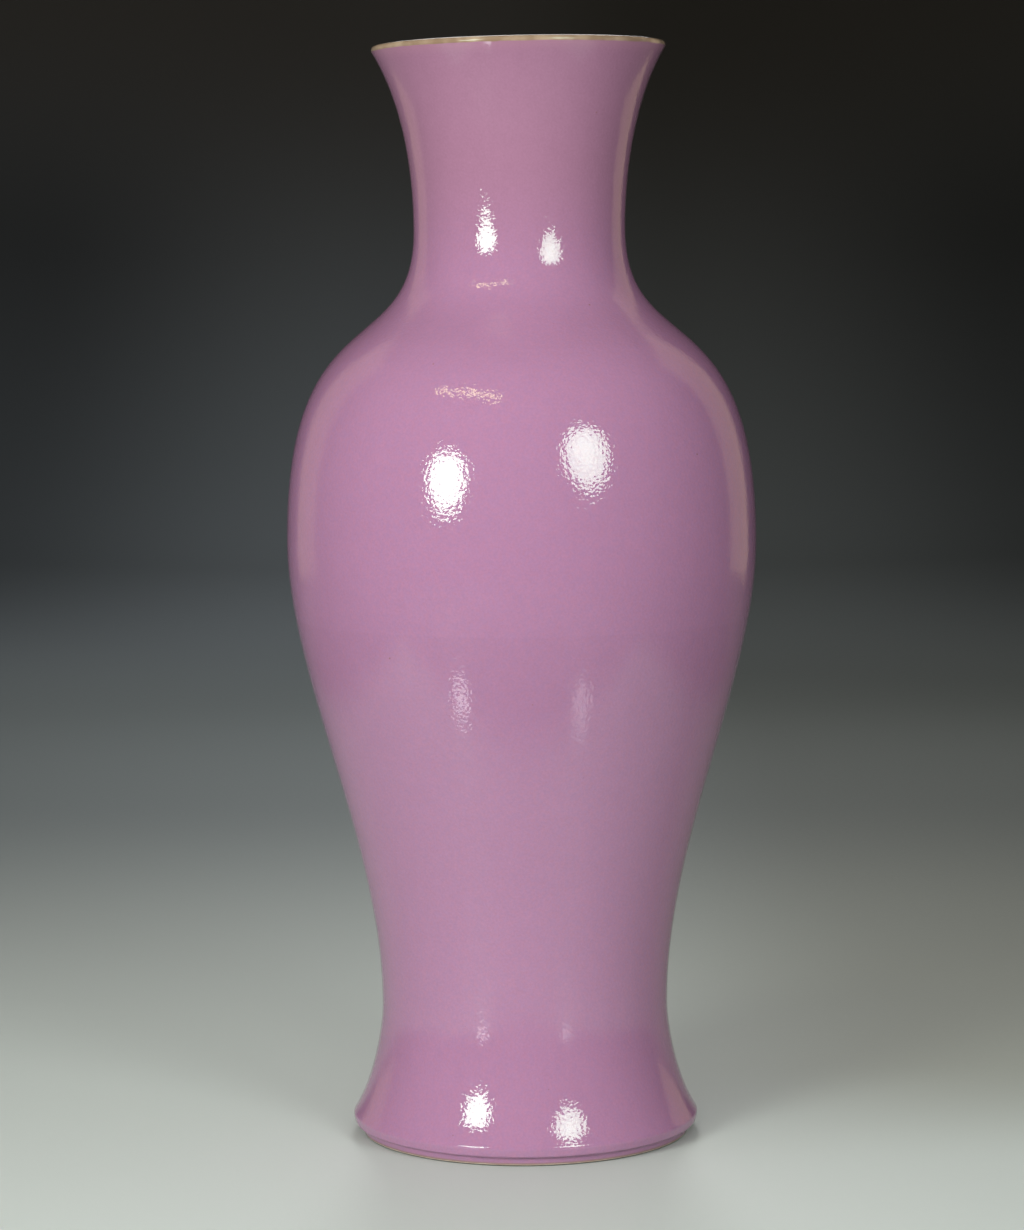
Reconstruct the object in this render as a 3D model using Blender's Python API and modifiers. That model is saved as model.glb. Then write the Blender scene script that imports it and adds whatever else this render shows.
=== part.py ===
"""A tall baluster vase in glazed porcelain.

The vase is modelled as it is made: three thrown sections, a foot ring and a floor, the slip
that lutes them to one another, and the three coats of glaze that cover them. The origin is
the centre of the foot, on the surface that the vase stands on, and +Z points up the axis.
Every piece is turned about that axis, so each one is an outline with a Screw modifier.
Outlines are lists of (radius, height), and run down the outer side and back up the inner one.
"""

import math

import bmesh
import bpy
from mathutils import Vector
from mathutils.geometry import interpolate_bezier

# Radii of the glazed outline, at its widest and narrowest places.
LIP_RADIUS = 0.0600
NECK_RADIUS = 0.0433
BELLY_RADIUS = 0.0967
WAIST_RADIUS = 0.0594
FLARE_RADIUS = 0.0718

# Heights from each of those places to the one above it. They add up to the vase's height.
FLARE_HEIGHT = 0.0065
WAIST_ABOVE_FLARE = 0.0475
BELLY_ABOVE_WAIST = 0.1930
NECK_ABOVE_BELLY = 0.1280
LIP_ABOVE_NECK = 0.0750

# How far the outline keeps to the vertical at each place, as a share of the height to the next.
NECK_UPWARD_HOLD = 0.16
NECK_DOWNWARD_HOLD = 0.43
BELLY_UPWARD_HOLD = 0.81
BELLY_DOWNWARD_HOLD = 0.29
WAIST_UPWARD_HOLD = 0.35
WAIST_DOWNWARD_HOLD = 0.21
LIP_HOLD = 0.40
FLARE_HOLD = 0.33

# Slope of the outline at its two ends, from the vertical.
LIP_SLOPE = math.radians(31.0)
FLARE_SLOPE = math.radians(32.0)

# The rounded edge of the flare, and how far round it the outline runs before the foot ring.
FLARE_EDGE_RADIUS = 0.0025
FLARE_UNDERCUT = math.radians(72.0)

# Foot ring, which is set back under the flare, and the recess inside it.
RING_SETBACK = 0.0028
RING_TAPER = 0.0009
RING_WIDTH = 0.0095
RING_CHAMFER = 0.0008
RECESS_HEIGHT = 0.0140
RECESS_TAPER = 0.0030
RECESS_FILLET = 0.0030
RECESS_DOME = 0.0008

# Thickness of the porcelain alone, without its glaze.
WALL_AT_LIP = 0.0022
WALL_AT_NECK = 0.0036
WALL_AT_BELLY = 0.0042
WALL_AT_WAIST = 0.0060

# The floor is a flat disc. The wall curves in to meet it, from the waist to the disc's edge.
FLOOR_THICKNESS = 0.0070
FLOOR_SET_IN = 0.0226
FLOOR_HOLD = 0.62

# Coats of glaze, the slip in the luted joints, and the gap kept between touching pieces.
GLAZE = 0.0005
SLIP = 0.0009
GAP = 0.0003

# Heights at which the sections are luted, from the widest place of the belly.
BELLY_SEAM_BELOW_BELLY = 0.0310
SHOULDER_SEAM_ABOVE_BELLY = 0.0800

# How finely the pieces are turned: faces round the axis, and points on each stretch.
FACES_ROUND = 32
NECK_POINTS = 6
SHOULDER_POINTS = 9
BODY_POINTS = 8
FOOT_POINTS = 5
EDGE_POINTS = 4
FLOOR_POINTS = 6
LIP_RISE_POINTS = 3
LIP_FALL_POINTS = 4

MERGE_DISTANCE = 0.00001

WAIST_HEIGHT = FLARE_HEIGHT + WAIST_ABOVE_FLARE
BELLY_HEIGHT = WAIST_HEIGHT + BELLY_ABOVE_WAIST
NECK_HEIGHT = BELLY_HEIGHT + NECK_ABOVE_BELLY
TOP_HEIGHT = NECK_HEIGHT + LIP_ABOVE_NECK
BELLY_SEAM_HEIGHT = BELLY_HEIGHT - BELLY_SEAM_BELOW_BELLY
SHOULDER_SEAM_HEIGHT = BELLY_HEIGHT + SHOULDER_SEAM_ABOVE_BELLY

# A coat of glaze and the gap behind it, and the half thickness of a seam with its two gaps.
COAT = GLAZE + GAP
SEAM_HALF = SLIP / 2 + GAP

FLOOR_RADIUS = WAIST_RADIUS - COAT - WALL_AT_WAIST - FLOOR_SET_IN

UP = Vector((0.0, 1.0))


# ---------------------------------------------------------------- outlines


def curve(start, start_handle, end_handle, end, count):
    """Points of a Bezier stretch, with its first point left off so that stretches join."""
    return [Vector(p[:2]) for p in interpolate_bezier(start, start_handle, end_handle, end, count + 1)][1:]


def arc(centre, radius, first, last, count):
    """Points on an arc between two angles, which are measured from the outward direction."""
    angles = [first + (last - first) * i / (count - 1) for i in range(count)]
    return [centre + radius * Vector((math.cos(a), math.sin(a))) for a in angles]


def without_repeats(points):
    """The outline without the points that lie on the one before."""
    kept = [points[0]]
    for point in points[1:]:
        if (point - kept[-1]).length > MERGE_DISTANCE:
            kept.append(point)
    return kept


def inset(points, depths):
    """The outline moved to the right of its own direction by a depth at each point."""
    moved = []
    for i, point in enumerate(points):
        before = (point - points[i - 1]).normalized() if i > 0 else None
        after = (points[i + 1] - point).normalized() if i < len(points) - 1 else None
        before = before or after
        after = after or before
        inward = Vector((before.y + after.y, -before.x - after.x)).normalized()
        spread = inward.dot(Vector((after.y, -after.x)))
        moved.append(point + inward * depths[i] / spread)
    return moved


def clip(points, axis, low, high):
    """The stretch of an outline whose radius (axis 0) or height (axis 1) is between low and high."""
    kept = []
    for a, b in zip(points, points[1:]):
        span = b[axis] - a[axis]
        if abs(span) < MERGE_DISTANCE:
            if low <= a[axis] <= high:
                kept += [a, b]
            continue
        shares = sorted(((low - a[axis]) / span, (high - a[axis]) / span))
        first, last = max(0.0, shares[0]), min(1.0, shares[1])
        if first <= last:
            kept += [a.lerp(b, first), a.lerp(b, last)]
    return without_repeats(kept)


def wall_at(height):
    """Thickness of the porcelain at a height above the waist."""
    stations = [
        (WAIST_HEIGHT, WALL_AT_WAIST),
        (BELLY_HEIGHT, WALL_AT_BELLY),
        (NECK_HEIGHT, WALL_AT_NECK),
        (TOP_HEIGHT, WALL_AT_LIP),
    ]
    for (low, thin), (high, thick) in zip(stations, stations[1:]):
        if height <= high:
            share = max(0.0, (height - low) / (high - low))
            return thin + (thick - thin) * share
    return WALL_AT_LIP


LIP_HALF = COAT + WALL_AT_LIP / 2
LIP_CENTRE = Vector((LIP_RADIUS - LIP_HALF, TOP_HEIGHT - LIP_HALF))
LIP_ALONG = Vector((math.sin(LIP_SLOPE), math.cos(LIP_SLOPE)))
LIP_OUT = Vector((math.cos(LIP_SLOPE), -math.sin(LIP_SLOPE)))


def glazed_outline():
    """The outer surface of the vase, from just under the lip down to the foot ring's edge."""
    lip = LIP_CENTRE + LIP_OUT * LIP_HALF
    neck = Vector((NECK_RADIUS, NECK_HEIGHT))
    belly = Vector((BELLY_RADIUS, BELLY_HEIGHT))
    waist = Vector((WAIST_RADIUS, WAIST_HEIGHT))
    edge = Vector((FLARE_RADIUS - FLARE_EDGE_RADIUS, FLARE_HEIGHT))
    edge_arc = arc(edge, FLARE_EDGE_RADIUS, FLARE_SLOPE, -FLARE_UNDERCUT, EDGE_POINTS)
    flare_up = Vector((-math.sin(FLARE_SLOPE), math.cos(FLARE_SLOPE)))
    points = [lip]
    points += curve(
        lip,
        lip - LIP_ALONG * LIP_HOLD * LIP_ABOVE_NECK,
        neck + UP * NECK_UPWARD_HOLD * LIP_ABOVE_NECK,
        neck,
        NECK_POINTS,
    )
    points += curve(
        neck,
        neck - UP * NECK_DOWNWARD_HOLD * NECK_ABOVE_BELLY,
        belly + UP * BELLY_UPWARD_HOLD * NECK_ABOVE_BELLY,
        belly,
        SHOULDER_POINTS,
    )
    points += curve(
        belly,
        belly - UP * BELLY_DOWNWARD_HOLD * BELLY_ABOVE_WAIST,
        waist + UP * WAIST_UPWARD_HOLD * BELLY_ABOVE_WAIST,
        waist,
        BODY_POINTS,
    )
    points += curve(
        waist,
        waist - UP * WAIST_DOWNWARD_HOLD * WAIST_ABOVE_FLARE,
        edge_arc[0] + flare_up * FLARE_HOLD * WAIST_ABOVE_FLARE,
        edge_arc[0],
        FOOT_POINTS,
    )
    points += edge_arc[1:]
    ring_top = Vector((FLARE_RADIUS - RING_SETBACK, edge_arc[-1].y))
    ring_foot = Vector((ring_top.x - RING_TAPER, RING_CHAMFER))
    return points + [ring_top, ring_foot]


GLAZED = glazed_outline()
OUTER = inset(GLAZED, [COAT] * len(GLAZED))
UNDERSIDE_HEIGHT = OUTER[-2].y
FOOT_SEAM_HEIGHT = UNDERSIDE_HEIGHT - SEAM_HALF
RING_OUTER_RADIUS = OUTER[-1].x
RING_INNER_RADIUS = RING_OUTER_RADIUS - RING_WIDTH
FLOOR_HEIGHT = RECESS_HEIGHT + FLOOR_THICKNESS


def inner_wall():
    """The porcelain's inner surface, from the lip down to the waist."""
    above = [p for p in GLAZED if p.y >= WAIST_HEIGHT]
    return inset(above, [COAT + wall_at(p.y) for p in above])


def inner_floor(top):
    """The porcelain's inner surface, from the waist down into the floor, and across it to the axis."""
    foot = Vector((FLOOR_RADIUS, FLOOR_HEIGHT))
    down = UP * FLOOR_HOLD * (top.y - foot.y)
    across = Vector((FLOOR_HOLD * (top.x - foot.x), 0.0))
    bend = curve(top, top - down, foot + across, foot, FLOOR_POINTS)
    return [top, *bend, Vector((0.0, FLOOR_HEIGHT))]


def recess_outline():
    """The porcelain under the foot, from the standing face up the recess and in to the axis."""
    top = Vector((RING_INNER_RADIUS - RECESS_TAPER, RECESS_HEIGHT))
    corner = top + Vector((-RECESS_FILLET, -RECESS_FILLET))
    fillet = arc(corner, RECESS_FILLET, 0.0, math.radians(90.0), EDGE_POINTS)
    return [
        Vector((RING_INNER_RADIUS + RING_CHAMFER, 0.0)),
        Vector((RING_INNER_RADIUS, RING_CHAMFER)),
        *fillet,
        Vector((0.0, RECESS_HEIGHT + RECESS_DOME)),
    ]


INNER_WALL = inner_wall()
INNER_FLOOR = inner_floor(INNER_WALL[-1])
INNER = INNER_WALL + INNER_FLOOR[1:]
RECESS = recess_outline()


# ---------------------------------------------------------------- turning


def material(name, colour, roughness):
    made = bpy.data.materials.new(name)
    made.use_nodes = True
    shader = made.node_tree.nodes["Principled BSDF"]
    shader.inputs["Base Color"].default_value = (*colour, 1.0)
    shader.inputs["Roughness"].default_value = roughness
    shader.inputs["Metallic"].default_value = 0.0
    return made


def turned(name, outline, finish):
    """A solid turned about the axis. Its outline is closed, unless it starts and ends on the axis."""
    points = without_repeats(outline)
    ends_on_axis = points[0].x < MERGE_DISTANCE and points[-1].x < MERGE_DISTANCE
    mesh = bpy.data.meshes.new(name)
    shape = bmesh.new()
    corners = [shape.verts.new((p.x, 0.0, p.y)) for p in points]
    for a, b in zip(corners, corners[1:]):
        shape.edges.new((a, b))
    if not ends_on_axis:
        shape.edges.new((corners[-1], corners[0]))
    shape.to_mesh(mesh)
    shape.free()
    made = bpy.data.objects.new(name, mesh)
    made.data.materials.append(finish)
    VASE.objects.link(made)
    screw = made.modifiers.new("Turning", "SCREW")
    screw.axis = "Z"
    screw.angle = math.tau
    screw.steps = screw.render_steps = FACES_ROUND
    screw.use_merge_vertices = True
    screw.merge_threshold = MERGE_DISTANCE
    screw.use_smooth_shade = True
    return made


def lip_arc(radius):
    """The lip's round, from the inner side over the crest to where the coloured coat begins."""
    inner, crest = math.pi - LIP_SLOPE, math.pi / 2
    outer = math.asin(GAP / (LIP_HALF - GLAZE)) - LIP_SLOPE
    rise = arc(LIP_CENTRE, radius, inner, crest, LIP_RISE_POINTS)
    return rise + arc(LIP_CENTRE, radius, crest, outer, LIP_FALL_POINTS)[1:]


def wall_between(low, high):
    """A thrown section's outline between two heights: down the outer side, and up the inner one."""
    return clip(OUTER, 1, low, high) + clip(INNER_WALL, 1, low, high)[::-1]


# ---------------------------------------------------------------- the pieces


def neck_section(finish):
    """The neck and its flared mouth, whose lip is a half round."""
    wall = wall_between(SHOULDER_SEAM_HEIGHT + SEAM_HALF, TOP_HEIGHT)
    return turned("neck", lip_arc(WALL_AT_LIP / 2)[1:] + wall, finish)


def upper_body(finish):
    """The shoulder and the widest part of the belly."""
    wall = wall_between(BELLY_SEAM_HEIGHT + SEAM_HALF, SHOULDER_SEAM_HEIGHT - SEAM_HALF)
    return turned("upper_body", wall, finish)


def lower_body(finish):
    """The lower belly, the waist and the flared foot, with the seat that takes the floor."""
    low = UNDERSIDE_HEIGHT
    high = BELLY_SEAM_HEIGHT - SEAM_HALF
    seat = FLOOR_RADIUS + SEAM_HALF
    under = clip(clip(RECESS, 1, low, RECESS_HEIGHT + RECESS_DOME), 0, seat, FLARE_RADIUS)
    above = clip(INNER_FLOOR, 0, seat, FLARE_RADIUS)[::-1]
    wall = clip(INNER_WALL, 1, 0.0, high)[::-1]
    return turned("lower_body", clip(OUTER, 1, low, high) + under + above + wall[1:], finish)


def floor_disc(finish):
    """The floor of the vase, a thrown disc luted into the foot of the wall."""
    radius = FLOOR_RADIUS - SEAM_HALF
    above = clip(INNER_FLOOR, 0, 0.0, radius)[::-1]
    below = clip(RECESS, 0, 0.0, radius)
    return turned("floor", above + below, finish)


def foot_ring(finish):
    """The ring that the vase stands on, with its unglazed standing face."""
    high = FOOT_SEAM_HEIGHT - SEAM_HALF
    chamfer = Vector((RING_OUTER_RADIUS - RING_CHAMFER, 0.0))
    outer = clip(OUTER, 1, RING_CHAMFER, high)
    recess = clip(RECESS, 1, 0.0, high)
    return turned("foot_ring", outer + [chamfer] + recess, finish)


def wall_seam(name, height, finish):
    """A ring of slip between two sections that meet on a level joint."""
    return turned(name, wall_between(height - SLIP / 2, height + SLIP / 2), finish)


def foot_seam(finish):
    """The ring of slip between the foot ring and the flare."""
    low, high = FOOT_SEAM_HEIGHT - SLIP / 2, FOOT_SEAM_HEIGHT + SLIP / 2
    return turned("foot_seam", clip(OUTER, 1, low, high) + clip(RECESS, 1, low, high), finish)


def floor_seam(finish):
    """The upright ring of slip between the floor and its seat."""
    near, far = FLOOR_RADIUS - SLIP / 2, FLOOR_RADIUS + SLIP / 2
    above = clip(INNER_FLOOR, 0, near, far)[::-1]
    below = clip(RECESS, 0, near, far)
    return turned("floor_seam", above + below, finish)


def outer_glaze(finish):
    """The coloured coat, from just under the lip to the foot ring's lower edge."""
    hidden = inset(GLAZED, [GLAZE] * len(GLAZED))
    return turned("outer_glaze", GLAZED + hidden[::-1], finish)


def inner_glaze(finish):
    """The clear coat, which rolls over the lip and lines the inside down to the floor."""
    back = inset(INNER, [GAP] * len(INNER))
    face = inset(INNER, [COAT] * len(INNER))
    under = lip_arc(LIP_HALF - GLAZE)[::-1]
    face[-1].x = back[-1].x = 0.0
    return turned("inner_glaze", face[:0:-1] + lip_arc(LIP_HALF) + under + back[1:], finish)


def base_glaze(finish):
    """The clear coat in the recess under the foot."""
    lined = RECESS[1:]
    back = inset(lined, [-GAP] * len(lined))
    face = inset(lined, [-COAT] * len(lined))
    face[-1].x = back[-1].x = 0.0
    return turned("base_glaze", back[::-1] + face, finish)


for leftover in list(bpy.data.objects):
    bpy.data.objects.remove(leftover)
VASE = bpy.data.collections.new("porcelain_vase")
bpy.context.scene.collection.children.link(VASE)

PORCELAIN = material("porcelain_body", (0.79, 0.76, 0.70), 0.75)
SLIP_CLAY = material("luting_slip", (0.74, 0.71, 0.66), 0.80)
LILAC = material("lilac_enamel", (0.47, 0.23, 0.40), 0.10)
CLEAR = material("clear_glaze", (0.74, 0.78, 0.77), 0.10)

neck_section(PORCELAIN)
upper_body(PORCELAIN)
lower_body(PORCELAIN)
floor_disc(PORCELAIN)
foot_ring(PORCELAIN)
wall_seam("shoulder_seam", SHOULDER_SEAM_HEIGHT, SLIP_CLAY)
wall_seam("belly_seam", BELLY_SEAM_HEIGHT, SLIP_CLAY)
foot_seam(SLIP_CLAY)
floor_seam(SLIP_CLAY)
outer_glaze(LILAC)
inner_glaze(CLEAR)
base_glaze(CLEAR)
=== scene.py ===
"""Looks for a tall porcelain vase in lilac enamel.

Every piece is turned from an outline: the thrown sections of the body and the slip between them,
the lilac coat outside, the clear coat inside and over the lip, and the clear coat under the foot.
All of them share the same small errors of the wheel and the kiln, so they stay nested.
Lengths are in metres. An outline is a list of (radius, height) points, and one that goes down the
outer side and up the inner side gives a shell whose faces point outwards.
"""

import math

import bpy
from mathutils import Matrix, Vector
from mathutils.geometry import interpolate_bezier


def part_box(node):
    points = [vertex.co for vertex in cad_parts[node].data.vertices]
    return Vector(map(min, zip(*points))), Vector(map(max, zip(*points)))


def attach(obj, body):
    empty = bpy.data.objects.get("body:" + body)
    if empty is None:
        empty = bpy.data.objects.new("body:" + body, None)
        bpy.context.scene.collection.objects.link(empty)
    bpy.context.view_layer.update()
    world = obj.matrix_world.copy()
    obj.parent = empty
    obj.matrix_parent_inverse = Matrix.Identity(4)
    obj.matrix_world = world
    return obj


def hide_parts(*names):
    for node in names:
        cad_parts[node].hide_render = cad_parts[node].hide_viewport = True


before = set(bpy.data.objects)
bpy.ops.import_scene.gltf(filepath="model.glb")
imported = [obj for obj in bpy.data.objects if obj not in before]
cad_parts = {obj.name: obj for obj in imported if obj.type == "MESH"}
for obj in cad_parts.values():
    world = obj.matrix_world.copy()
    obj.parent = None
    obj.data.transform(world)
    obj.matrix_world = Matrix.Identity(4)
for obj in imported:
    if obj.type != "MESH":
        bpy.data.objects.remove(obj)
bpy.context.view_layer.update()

# ------------------------------------------------------------------ places from the frame


def middle(name):
    """The height that a CAD node is centred on."""
    low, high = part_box(name)
    return (low.z + high.z) / 2


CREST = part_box("inner_glaze")[1].z
BELLY_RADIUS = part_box("outer_glaze")[1].x
GLAZE_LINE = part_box("outer_glaze")[0].z
FLOOR_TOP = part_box("floor")[1].z
FLOOR_RADIUS = (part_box("floor")[1].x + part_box("floor_seam")[1].x) / 2
SHOULDER_SEAM = middle("shoulder_seam")
BELLY_SEAM = middle("belly_seam")

# ------------------------------------------------------------------ sizes of the vase

# Radii of the glazed outline, and the heights of its turns.
LIP_RADIUS = 0.0600
NECK_RADIUS = 0.0433
WAIST_RADIUS = 0.0594
FLARE_RADIUS = 0.0718
NECK_HEIGHT = 0.3750
BELLY_HEIGHT = 0.2470
WAIST_HEIGHT = 0.0540
FLARE_HEIGHT = 0.0074

# Lengths of the straight pull of the outline on each side of a turn.
LIP_PULL = 0.0300
NECK_PULL_UP = 0.0120
NECK_PULL_DOWN = 0.0550
BELLY_PULL_UP = 0.1037
BELLY_PULL_DOWN = 0.0560
WAIST_PULL_UP = 0.0675
WAIST_PULL_DOWN = 0.0100
FLARE_PULL = 0.0157
LIP_SLOPE = math.radians(31.0)
FLARE_SLOPE = math.radians(32.0)

# The rounded edge of the flare, the glaze that pools in the corner below it, and the foot ring.
EDGE_RADIUS = 0.0025
EDGE_TURN = math.radians(10.0)
EDGE_DROP = 0.0019
EDGE_LOWER_RADIUS = 0.0013
EDGE_UNDERCUT = math.radians(90.0)
POOL_RADIUS = 0.0004
RING_SETBACK = 0.0028
RING_TAPER = 0.0009
RING_WIDTH = 0.0095
RING_ROUND = 0.0008
RECESS_HEIGHT = 0.0140
RECESS_TAPER = 0.0030
RECESS_ROUND = 0.0030
RECESS_DOME = 0.0008

# The lip with its coats, the bare wall at some heights, the coats of glaze and the slip.
LIP_WIDTH = 0.0030
WALLS = (WAIST_HEIGHT, 0.0060), (BELLY_HEIGHT, 0.0042), (NECK_HEIGHT, 0.0036), (CREST, 0.0014)
GLAZE = 0.0008
GLAZE_END = 0.0001
SLIP = 0.0015
SLIP_RIDGE = 0.0005
SLIP_RIDGE_HALF = 0.0050
FLOOR_CURVE = 0.62

# The errors that every piece shares: an oval, a lean of the rim, waves, throwing rings inside, and
# the wander of the two edges of the lilac coat.
OVAL = 0.00020
RIM_LEAN = 0.00075
LEAN_FROM = 0.395
WAVE = 0.00010
WAVE_LENGTH = 0.060
RING_RIDGE = 0.00030
RING_PITCH = 0.0090
WANDER = 0.00030
LIP_EDGE_DROP = 0.0023
LIP_EDGE_REACH = 0.0020
LIP_EDGE_RADII = 0.0585, 0.0592
FOOT_EDGE_RADII = 0.0655, 0.0668
FOOT_EDGE_TOP = 0.0026
RINGS_FROM = 0.030, 0.050
RINGS_TO = 0.045, 0.015
STILL_RADIUS = 0.040
OVAL_TURN = 0.9
WAVE_SEED = 4.0

HAIR = 0.00002
SAME = 0.000002
CORNER = math.radians(35.0)
FACES_SEEN = 256
FACES_HIDDEN = 128

# ------------------------------------------------------------------ node trees


class Term:
    """A value in a node tree. Arithmetic on it adds Math nodes."""

    def __init__(self, tree, socket):
        self.tree = tree
        self.socket = socket

    def out(self, name):
        """Another output of the same node."""
        return Term(self.tree, self.socket.node.outputs[name])

    def __add__(self, other):
        return self.tree.math("ADD", self, other)

    def __radd__(self, other):
        return self.tree.math("ADD", other, self)

    def __sub__(self, other):
        return self.tree.math("SUBTRACT", self, other)

    def __rsub__(self, other):
        return self.tree.math("SUBTRACT", other, self)

    def __mul__(self, other):
        return self.tree.math("MULTIPLY", self, other)

    def __rmul__(self, other):
        return self.tree.math("MULTIPLY", other, self)

    def __truediv__(self, other):
        return self.tree.math("DIVIDE", self, other)


class Tree:
    """A node tree written as calls: each adds a node and gives back its first output."""

    def __init__(self, tree):
        self.tree = tree

    def add(self, kind, settings=None, inputs=None):
        """A node of a type, with its settings, and the values or links of its sockets."""
        made = self.tree.nodes.new(kind)
        for name, value in (settings or {}).items():
            setattr(made, name, value)
        for name, value in (inputs or {}).items():
            if isinstance(name, int):
                socket = made.inputs[name]
            else:
                socket = next(s for s in made.inputs if s.enabled and s.name == name)
            if isinstance(value, Term):
                self.tree.links.new(value.socket, socket)
            else:
                socket.default_value = value
        outputs = [s for s in made.outputs if s.enabled]
        return Term(self, outputs[0]) if outputs else None

    def math(self, operation, *values):
        return self.add("ShaderNodeMath", {"operation": operation}, dict(enumerate(values)))

    def vector(self, operation, *values):
        return self.add("ShaderNodeVectorMath", {"operation": operation}, dict(enumerate(values)))

    def step(self, value, low, high):
        """A smooth rise from 0 to 1 as the value goes from low to high."""
        limits = {"Value": value, "From Min": low, "From Max": high}
        return self.add("ShaderNodeMapRange", {"interpolation_type": "SMOOTHSTEP"}, limits)

    def near(self, value, centre, reach):
        """1 at the centre, falling smoothly to 0 at that distance from it."""
        return 1.0 - self.step(self.math("ABSOLUTE", value - centre), 0.0, reach)

    def noise(self, place, length, detail=2.0, roughness=0.5):
        """Noise about 0, from -0.5 to 0.5, with lumps of about that length."""
        values = {"Vector": place, "Scale": 1.0 / length, "Detail": detail, "Roughness": roughness}
        return self.add("ShaderNodeTexNoise", None, values) - 0.5

    def dots(self, place, spacing, radius):
        """1 at the middle of scattered dots, and 0 outside them. Not every cell shows its dot."""
        values = {"Vector": place, "Scale": 1.0 / spacing, "Randomness": 1.0}
        away = self.add("ShaderNodeTexVoronoi", {"feature": "F1"}, values) * spacing
        return 1.0 - self.step(away, 0.0, radius)

    def mix(self, share, first, second, blend="MIX"):
        """The first colour turning into the second as the share rises."""
        first, second = ((*c, 1.0) if isinstance(c, tuple) else c for c in (first, second))
        inputs = {"Factor": share, "A": first, "B": second}
        return self.add("ShaderNodeMix", {"data_type": "RGBA", "blend_type": blend}, inputs)


# ------------------------------------------------------------------ outlines


def curve(start, start_pull, end_pull, end, count):
    """Points of a Bezier stretch, with its first point left off so that stretches join."""
    return [Vector(p[:2]) for p in interpolate_bezier(start, start_pull, end_pull, end, count + 1)][1:]


def straight(start, end, count):
    """Points of a straight stretch, with its first point left off."""
    return [start.lerp(end, share / count) for share in range(1, count + 1)]


def arc(centre, radius, first, last, count):
    """Points on an arc between two angles, which are measured from the outward direction."""
    angles = [first + (last - first) * i / (count - 1) for i in range(count)]
    return [centre + radius * Vector((math.cos(a), math.sin(a))) for a in angles]


def inset(points, depths):
    """The outline moved to the right of its own direction by a depth at each point."""
    moved = []
    for i, point in enumerate(points):
        along = (points[min(i + 1, len(points) - 1)] - points[max(i - 1, 0)]).normalized()
        moved.append(point + Vector((along.y, -along.x)) * depths[i])
    return moved


def thinned(points, gap):
    """The outline with only the points that are at least that far from the last one kept."""
    kept = [points[0]]
    for point in points[1:-1]:
        if (point - kept[-1]).length >= gap:
            kept.append(point)
    return kept + [points[-1]]


def clip(points, axis, low, high):
    """The stretch of an outline whose radius (axis 0) or height (axis 1) is between low and high."""
    kept = []
    for a, b in zip(points, points[1:]):
        span = b[axis] - a[axis]
        if abs(span) < SAME:
            if low <= a[axis] <= high:
                kept += [a, b]
            continue
        shares = sorted(((low - a[axis]) / span, (high - a[axis]) / span))
        first, last = max(0.0, shares[0]), min(1.0, shares[1])
        if first <= last:
            kept += [a.lerp(b, first), a.lerp(b, last)]
    return kept


def with_crisp_corners(points):
    """The outline without repeats, and with a point a hair to each side of every sharp corner."""
    clean = [points[0]]
    for point in points[1:]:
        if (point - clean[-1]).length > 2 * SAME:
            clean.append(point)
    closed = (points[-1] - points[0]).length < SAME
    if closed and (clean[-1] - clean[0]).length > SAME:
        clean.append(points[-1])
    crisp = []
    for i, corner in enumerate(clean):
        first, last = i == 0, i == len(clean) - 1
        if (first or last) and not closed:
            crisp.append(corner)
            continue
        to_before = clean[-2 if first else i - 1] - corner
        to_after = clean[1 if last else i + 1] - corner
        sharp = math.pi - to_before.angle(to_after) > CORNER
        if sharp and not first and to_before.length > 2 * HAIR:
            crisp.append(corner + to_before.normalized() * HAIR)
        crisp.append(corner)
        if sharp and not last and to_after.length > 2 * HAIR:
            crisp.append(corner + to_after.normalized() * HAIR)
    return crisp


UP = Vector((0.0, 1.0))
LIP_HALF = LIP_WIDTH / 2
LIP_CENTRE = Vector((LIP_RADIUS - LIP_HALF, CREST - LIP_HALF))
LIP_ALONG = Vector((math.sin(LIP_SLOPE), math.cos(LIP_SLOPE)))
LIP_OUT = Vector((math.cos(LIP_SLOPE), -math.sin(LIP_SLOPE)))


def from_lip(point):
    """Distance round the lip from its top to a point: above 0 outside, and below 0 inside."""
    away = point - LIP_CENTRE
    across, down = away.dot(LIP_OUT), -away.dot(LIP_ALONG)
    side = math.copysign(1.0, across)
    if down > 0.0:
        return side * (LIP_HALF * math.pi / 2 + down)
    return side * LIP_HALF * math.atan2(abs(across), -down)


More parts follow.
